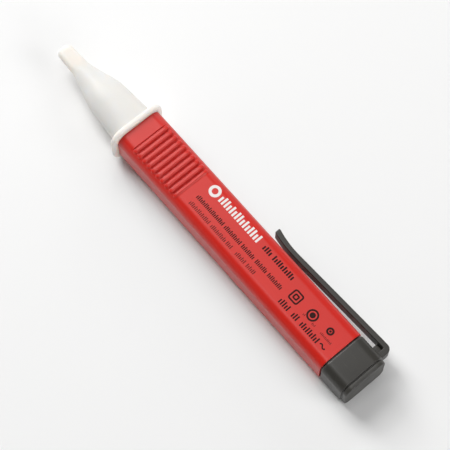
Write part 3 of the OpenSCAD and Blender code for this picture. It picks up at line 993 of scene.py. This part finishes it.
@dataclass
class PocketClip:
    """Springy clip: a filleted root on the cap's side, a round corner and a flared arm."""

    root: tuple[float, float] = (144.6, 12.28)
    arm_len: float = 48.4
    height: float = 5.2
    thick: float = 1.8
    taper: float = 0.14
    lean: float = 0.0389
    bend: float = 9.8
    flare: float = 0.0118
    corner: float = 2.0
    inner_corner: float = 0.4
    fillet: float = 1.0
    bridge_x: tuple[float, float] = (145.65, 147.75)
    edge_r: float = 0.3
    end_r: float = 0.45

    def arm(self, d: np.ndarray) -> tuple[np.ndarray, np.ndarray]:
        """Middle line and thickness of the arm at a distance d from its root.

        The middle line leans towards the sleeve in a straight line, and past the bend a
        square of the distance turns it out again. The thickness falls a little along the
        arm and grows again at its free end.
        """
        past = np.maximum(0, d - self.arm_len + self.bend)
        middle = self.root[1] - self.lean * d + self.flare * past ** 2
        end = np.maximum(0, d - self.arm_len + 9) / 9
        return middle, self.thick - self.taper * np.minimum(1, d / 40) + 0.35 * end ** 2

    def edges(self) -> tuple[np.ndarray, np.ndarray]:
        """Outer and inner edge of the clip seen from above, point for point, root first."""
        side = BODY_W / 2
        steps = 10
        t = np.linspace(0, 1, steps)
        corner_y = self.root[1] + self.thick / 2 - self.corner
        outer_a = np.stack([np.full(steps, self.bridge_x[1]), side - 0.5 + (corner_y - side + 0.5) * t], -1)
        turn = np.radians(180 * 0.5 * t)
        inner_a = np.stack([self.bridge_x[0] - self.fillet + self.fillet * np.sin(turn),
                            side + self.fillet - self.fillet * np.cos(turn)], -1)
        inner_a[0, 1] = side - 0.5
        angle = np.radians(np.linspace(0, 90, 16)[1:])
        middle, thick = self.arm(np.array([0.0]))
        outer_b = np.stack([self.bridge_x[1] - self.corner + self.corner * np.cos(angle),
                            corner_y + self.corner * np.sin(angle)], -1)
        inner_y = middle[0] - thick[0] / 2
        small = self.inner_corner
        inner_b = np.stack([self.bridge_x[0] - small + small * np.cos(angle),
                            inner_y - small + small * np.sin(angle)], -1)
        d = np.linspace(0, self.arm_len, 70)[1:]
        middle, thick = self.arm(d)
        x = self.root[0] - d
        outer_c = np.stack([x, middle + thick / 2], -1)
        inner_c = np.stack([x, middle - thick / 2], -1)
        return np.concatenate([outer_a, outer_b, outer_c]), np.concatenate([inner_a, inner_b, inner_c])

    def build(self, paint: Paintbox) -> bpy.types.Object:
        """Makes the clip as one swept shell that bends from the cap to the arm."""
        outer, inner = self.edges()
        half_w = np.linalg.norm(outer - inner, axis=1) / 2
        middle = (outer + inner) / 2
        across = (outer - inner) / (2 * half_w[:, None])
        turn = quarter(7)
        along = middle[-1] - middle[-2]
        along = along / np.linalg.norm(along)
        past = half_w[-1] - self.end_r * (1 - np.sin(turn))
        middle = np.concatenate([middle, middle[-1] + along * past[:, None]])
        across = np.concatenate([across, np.repeat(across[-1:], len(turn), 0)])
        drawn_in = self.end_r * (1 - np.cos(turn))
        half_w = np.concatenate([half_w, half_w[-1] - drawn_in])
        half_h = np.full(len(half_w), self.height / 2)
        half_h[-len(turn):] -= drawn_in
        radius = np.minimum(self.edge_r, half_w * 0.9)
        section = RoundedOutline(5, 8, 6).points(half_w, half_h, radius)
        points = middle[:, None] + section[..., :1] * across[:, None]
        shell = Shell()
        shell.grid(np.concatenate([points, section[..., 1:] + MID_Z], -1))
        piece = shell.build("pocket_clip_arm")
        paint.paint(piece, "dark_plastic")
        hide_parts("pocket_clip")
        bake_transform(piece)
        return piece


def surface_z(y: np.ndarray) -> np.ndarray:
    """Height of the sleeve's upper surface: level, then a quarter circle at each edge."""
    past = np.clip(np.abs(y) - (BODY_W / 2 - EDGE_R), 0, EDGE_R * 0.99)
    return BODY_H - EDGE_R + np.sqrt(EDGE_R ** 2 - past ** 2)


@dataclass(frozen=True)
class Row:
    """One row of print, drawn as plain strokes in groups.

    Attributes:
        y: middle of the row across the tester.
        height: height of its tall strokes.
        stroke: width of a stroke.
        pitch: distance from one stroke to the next.
        groups: start and end of each group along the tester.
    """

    y: float
    height: float
    stroke: float
    pitch: float
    groups: tuple[tuple[float, float], ...]


@dataclass
class PrintMarks:
    """Thin ink on the sleeve's upper face: rows of plain strokes, rings and an AC wave."""

    sunk: float = 0.03
    proud: float = 0.035
    white: tuple[Row, ...] = (Row(4.16, 2.9, 0.74, 1.27, ((76.8, 95.8),)),)
    black: tuple[Row, ...] = (
        Row(3.83, 1.95, 0.56, 0.95, ((97.9, 101.2), (102.6, 111.5))),
        Row(-1.10, 1.55, 0.34, 0.64,
            ((71.5, 84.0), (84.9, 92.4), (93.2, 99.0), (99.8, 104.6), (105.6, 111.7))),
        Row(-3.70, 2.05, 0.48, 0.90, ((114.2, 118.9), (120.2, 123.1), (124.1, 132.2))))
    faint: tuple[Row, ...] = (
        Row(-4.16, 1.45, 0.27, 0.64, ((71.5, 81.0), (81.9, 88.5), (89.3, 91.5), (93.8, 98.2), (99.0, 102.5))),
        Row(-1.22, 0.75, 0.20, 0.50, ((122.3, 123.2), (126.4, 127.8))),
        Row(-1.22, 0.75, 0.20, 0.50, ((130.3, 135.1),)))
    white_ring: tuple[float, float, float, float] = (73.85, 4.12, 1.58, 0.50)
    black_rings: tuple[tuple[float, float, float, float], ...] = (
        (124.55, 0.62, 1.72, 0.30), (124.55, 0.62, 0.5, 0.46),
        (131.94, 1.34, 0.98, 0.32), (131.94, 1.34, 0.2, 0.19))
    frame_marks: tuple[tuple[float, float, float, float], ...] = (
        (116.8, 0.6, 1.76, 0.26), (116.8, 0.6, 0.72, 0.26))
    wave: tuple[float, float, float, float] = (132.7, 135.1, -3.7, 0.42)

    def ribbons(self, shell: Shell, paths: np.ndarray, half_w: np.ndarray | float, closed: bool) -> None:
        """Adds flat ribbons of ink that follow paths over the sleeve's surface.

        The ribbon's two edges lie at half its width either side of the path, along the
        path's normal. Its upper face stands proud of the surface and its lower one is sunk.

        Args:
            shell: where they are added.
            paths: (k, m, 2) x and y of k paths.
            half_w: half width, one for all or (m,) along the path.
            closed: whether each path comes back to its start.
        """
        if closed:
            ahead = np.roll(paths, -1, 1) - np.roll(paths, 1, 1)
        else:
            ahead = np.gradient(paths, axis=1)
        ahead = ahead / np.linalg.norm(ahead, axis=-1, keepdims=True)
        side = np.stack([-ahead[..., 1], ahead[..., 0]], -1) * np.reshape(half_w, (1, -1, 1))
        place = np.array([-1.0, -1.0, 0.0, 1.0, 1.0])
        lift = np.array([-self.sunk, self.proud, self.proud, self.proud, -self.sunk])
        flat = paths[:, :, None] + side[:, :, None] * place[:, None]
        z = surface_z(flat[..., 1]) + lift
        points = np.concatenate([flat, z[..., None]], -1)
        k, m, n, _ = points.shape
        index = np.arange(k * m * n).reshape(k, m, n)
        lower, upper = (index, np.roll(index, -1, 1)) if closed else (index[:, :-1], index[:, 1:])
        quads = np.stack([lower, np.roll(lower, -1, 2), np.roll(upper, -1, 2), upper], -1).reshape(-1, 4)
        tris = np.zeros((0, 3), int)
        if not closed:
            first, last = index[:, 0], index[:, -1]
            fans = [(first[:, [0, i + 1, i]], last[:, [0, i, i + 1]]) for i in (1, 2, 3)]
            tris = np.concatenate([part for pair in fans for part in pair])
        shell.add(points.reshape(-1, 3), quads, tris)

    def row(self, shell: Shell, row: Row) -> None:
        """Adds one row of plain upright strokes, some of them shorter than the rest.

        Args:
            shell: where it is added.
            row: the row's sizes.
        """
        x = np.concatenate([np.arange(a + row.stroke / 2, b, row.pitch) for a, b in row.groups])
        t = np.linspace(-1, 1, 9)
        full = (np.arange(len(x)) * 7 + 3) % 5 < 3
        for pick, middle, half in ((full, 0.0, 0.5), (~full, -0.13, 0.37)):
            y = row.y + row.height * (middle + half * t)
            if pick.any():
                paths = np.stack(np.broadcast_arrays(x[pick][:, None], y[None]), -1)
                self.ribbons(shell, paths, row.stroke / 2, closed=False)

    def ring(self, shell: Shell, x: float, y: float, radius: float, half_w: float) -> None:
        """Adds a ring of ink round a point, with a given middle radius and half width."""
        angle = np.linspace(0, 2 * np.pi, 48, endpoint=False)
        path = np.stack([x + radius * np.cos(angle), y + radius * np.sin(angle)], -1)
        self.ribbons(shell, path[None], half_w, closed=True)

    def build(self, paint: Paintbox) -> None:
        """Makes the white, the black and the faint print and puts them on the tester."""
        white, black, faint = Shell(), Shell(), Shell()
        for shell, rows in ((white, self.white), (black, self.black), (faint, self.faint)):
            for row in rows:
                self.row(shell, row)
        self.ring(white, *self.white_ring)
        for ring in self.black_rings:
            self.ring(black, *ring)
        for x, y, half, half_w in self.frame_marks:
            square = RoundedOutline(6, 6, 6).points(np.array([half]), np.array([half]),
                                                    np.array([half * 0.35]))
            self.ribbons(black, square + np.array([x, y]), half_w, closed=True)
        x0, x1, y, tall = self.wave
        t = np.linspace(0, 1, 25)
        self.ribbons(
            black, np.stack([x0 + (x1 - x0) * t, y + tall * np.sin(2 * np.pi * t)], -1)[None], 0.21, False)
        for shell, name, slot, finish in ((white, "print_white", "white_plastic", "print_white"),
                                          (black, "print_black", "chip_black", "print_black"),
                                          (faint, "print_faint", "chip_black", "print_faint")):
            piece = shell.build(name, 30.0)
            paint.paint(piece, slot, finish)
            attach(piece, "tester")


@dataclass
class Cell:
    """One AAA cell: a jacket with rounded rims and stepped ends round its can."""

    name: str
    start: float
    end: float
    radius: float = 5.25
    rim_r: float = 0.35
    film: float = 0.45
    recess: float = 0.22
    centre_r: float = 0.5

    def profile(self) -> np.ndarray:
        """Rows of x and radius from the button's end to the flat end, both stepped in."""
        angle = quarter(6)
        r = self.rim_r
        inner = self.radius - r - self.film
        front = np.stack([self.start + r * (1 - np.sin(angle[::-1])),
                          self.radius - r * (1 - np.cos(angle[::-1]))], -1)
        back = np.stack([self.end - r * (1 - np.sin(angle)), self.radius - r * (1 - np.cos(angle))], -1)
        near = self.start + self.recess
        far = self.end - self.recess
        head = np.array([[near, self.centre_r], [near, inner * 0.7], [near, inner - 0.1],
                         [near - 0.05, inner],
                         [self.start + 0.03, inner + 0.05], [self.start, inner + 0.15]])
        tail = np.array([[self.end, inner + 0.15], [self.end - 0.03, inner + 0.05], [far + 0.05, inner],
                         [far, inner - 0.1], [far, inner * 0.82], [far - 0.08, inner * 0.76],
                         [far - 0.08, self.centre_r]])
        return np.concatenate([head, front, back, tail])

    def build(self, paint: Paintbox) -> None:
        """Makes the cell's jacket and lets it slide with the cells."""
        shell = Shell()
        shell.grid(turned(self.profile(), 0.0, MID_Z, 72))
        piece = shell.build(self.name + "_jacket", 50.0)
        paint.paint(piece, "cell_jacket")
        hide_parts(self.name)
        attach(piece, "cells")


# ---------------------------------------------------------------- studio


@dataclass(frozen=True)
class SoftBox:
    """A square soft light that faces the tester.

    Attributes:
        name: the light's name.
        azimuth: degrees round from +X towards +Y.
        elevation: degrees above the floor.
        watts: its power.
        size: its side, in metres.
        distance: how far away it hangs, in metres.
    """

    name: str
    azimuth: float
    elevation: float
    watts: float
    size: float = 0.45
    distance: float = 1.15


@dataclass
class Studio:
    """Pale floor, soft light from overhead, and the camera."""

    azimuth: float = 50.628
    elevation: float = 70.288
    roll: float = -0.986
    distance: float = 0.568008
    target: tuple[float, float, float] = (0.007508, 0.000805, 0.0072)
    lens: float = 142.99
    sensor: float = 36.0
    floor_size: float = 8.0
    flange_foot: tuple[float, float] = (-0.03565, -0.00175)
    cap_foot: tuple[float, float] = (0.0737, 0.0)
    boxes: tuple[SoftBox, ...] = (
        SoftBox("tip_low", 180, 36, 5.76),
        SoftBox("tip_high", 180, 54, 3.74),
        SoftBox("tip_side", 150, 54, 2.15),
        SoftBox("overhead", 0, 90, 2.12),
        SoftBox("clip_low", 120, 20, 1.92),
        SoftBox("near_low", 240, 20, 0.8),
        SoftBox("cap_low", 0, 20, 3.11),
        SoftBox("cap_side", 30, 36, 2.83),
        SoftBox("cap_near", 330, 36, 0.67))

    def axes(self) -> tuple[Vector, Vector, Vector]:
        """Camera's right, up and backward directions from azimuth, elevation and roll."""
        az, el, roll = (math.radians(v) for v in (self.azimuth, self.elevation, self.roll))
        back = Vector((math.sin(az) * math.cos(el), -math.cos(az) * math.cos(el), math.sin(el)))
        level = Vector((math.cos(az), math.sin(az), 0.0))
        rise = back.cross(level)
        right = level * math.cos(roll) + rise * math.sin(roll)
        up = rise * math.cos(roll) - level * math.sin(roll)
        return right, up, back

    def camera(self) -> None:
        """Places the camera and makes it the scene's."""
        right, up, back = self.axes()
        data = bpy.data.cameras.new("camera")
        data.lens, data.sensor_width = self.lens, self.sensor
        data.clip_start, data.clip_end = 0.01, 50.0
        eye = bpy.data.objects.new("camera", data)
        turn = Matrix((right, up, back)).transposed().to_4x4()
        eye.matrix_world = Matrix.Translation(Vector(self.target) + back * self.distance) @ turn
        bpy.context.scene.collection.objects.link(eye)
        bpy.context.scene.camera = eye

    def floor(self) -> None:
        """Makes the floor: a plane that touches the flange's foot and the cap's."""
        (x0, z0), (x1, z1) = self.flange_foot, self.cap_foot
        slope = (z1 - z0) / (x1 - x0)
        half = self.floor_size / 2
        corners = [(sx * half, sy * half, z0 + (sx * half - x0) * slope)
                   for sx, sy in ((-1, -1), (1, -1), (1, 1), (-1, 1))]
        mesh = bpy.data.meshes.new("floor")
        mesh.from_pydata(corners, [], [(0, 1, 2, 3)])
        plane = bpy.data.objects.new("floor", mesh)
        bpy.context.scene.collection.objects.link(plane)
        material = bpy.data.materials.new("floor")
        material.use_nodes = True
        graph = Graph(material.node_tree)
        place = graph.node("TexCoord").outputs["Object"]
        noise = graph.node("TexNoise", None, Vector=place, Scale=6.0, Detail=2.0).outputs["Fac"]
        colour = graph.mix(noise, (0.875, 0.872, 0.868), (0.89, 0.89, 0.887))
        shader = graph.node("BsdfPrincipled", None, Base_Color=colour)
        shader.inputs["Roughness"].default_value = 0.9
        shader.inputs["Specular IOR Level"].default_value = 0.1
        graph.node("OutputMaterial", None, Surface=shader.outputs[0])
        mesh.materials.append(material)

    def softbox(self, box: SoftBox) -> None:
        """Hangs one square soft light at its direction and turns it to the tester.

        Args:
            box: the light's direction, size and power.
        """
        data = bpy.data.lights.new(box.name, "AREA")
        data.shape, data.size = "SQUARE", box.size
        data.energy = box.watts
        az, el = math.radians(box.azimuth), math.radians(box.elevation)
        place = Vector((math.cos(el) * math.cos(az), math.cos(el) * math.sin(az),
                        math.sin(el))) * box.distance
        lamp = bpy.data.objects.new(box.name, data)
        lamp.location = place
        lamp.rotation_mode = "QUATERNION"
        lamp.rotation_quaternion = (-place).to_track_quat("-Z", "Y")
        bpy.context.scene.collection.objects.link(lamp)

    def world(self) -> None:
        """Sets an even pale surround."""
        world = bpy.data.worlds.new("surround")
        world.use_nodes = True
        graph = Graph(world.node_tree)
        sky = graph.node("Background", None, Color=(0.97, 0.985, 1.0), Strength=0.005)
        graph.node("OutputWorld", None, Surface=sky.outputs[0])
        bpy.context.scene.world = world

    def build(self) -> None:
        """Makes the floor, the lights, the surround and the camera."""
        self.floor()
        self.world()
        for box in self.boxes:
            self.softbox(box)
        self.camera()
        bpy.context.scene.view_settings.view_transform = "Standard"


def main() -> None:
    """Builds the pieces in order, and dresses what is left."""
    logging.basicConfig(level=logging.INFO, format="%(message)s")
    paint = Paintbox()
    ProbeTip().build(paint)
    Sleeve().build(paint)
    EndCap().build(paint)
    PocketClip().build(paint)
    PrintMarks().build(paint)
    Cell("front_cell", 52.3, 95.9).build(paint)
    Cell("rear_cell", 96.9, 140.5).build(paint)
    paint.paint_nodes()
    Studio().build()


if __name__ == "__main__":
    main()
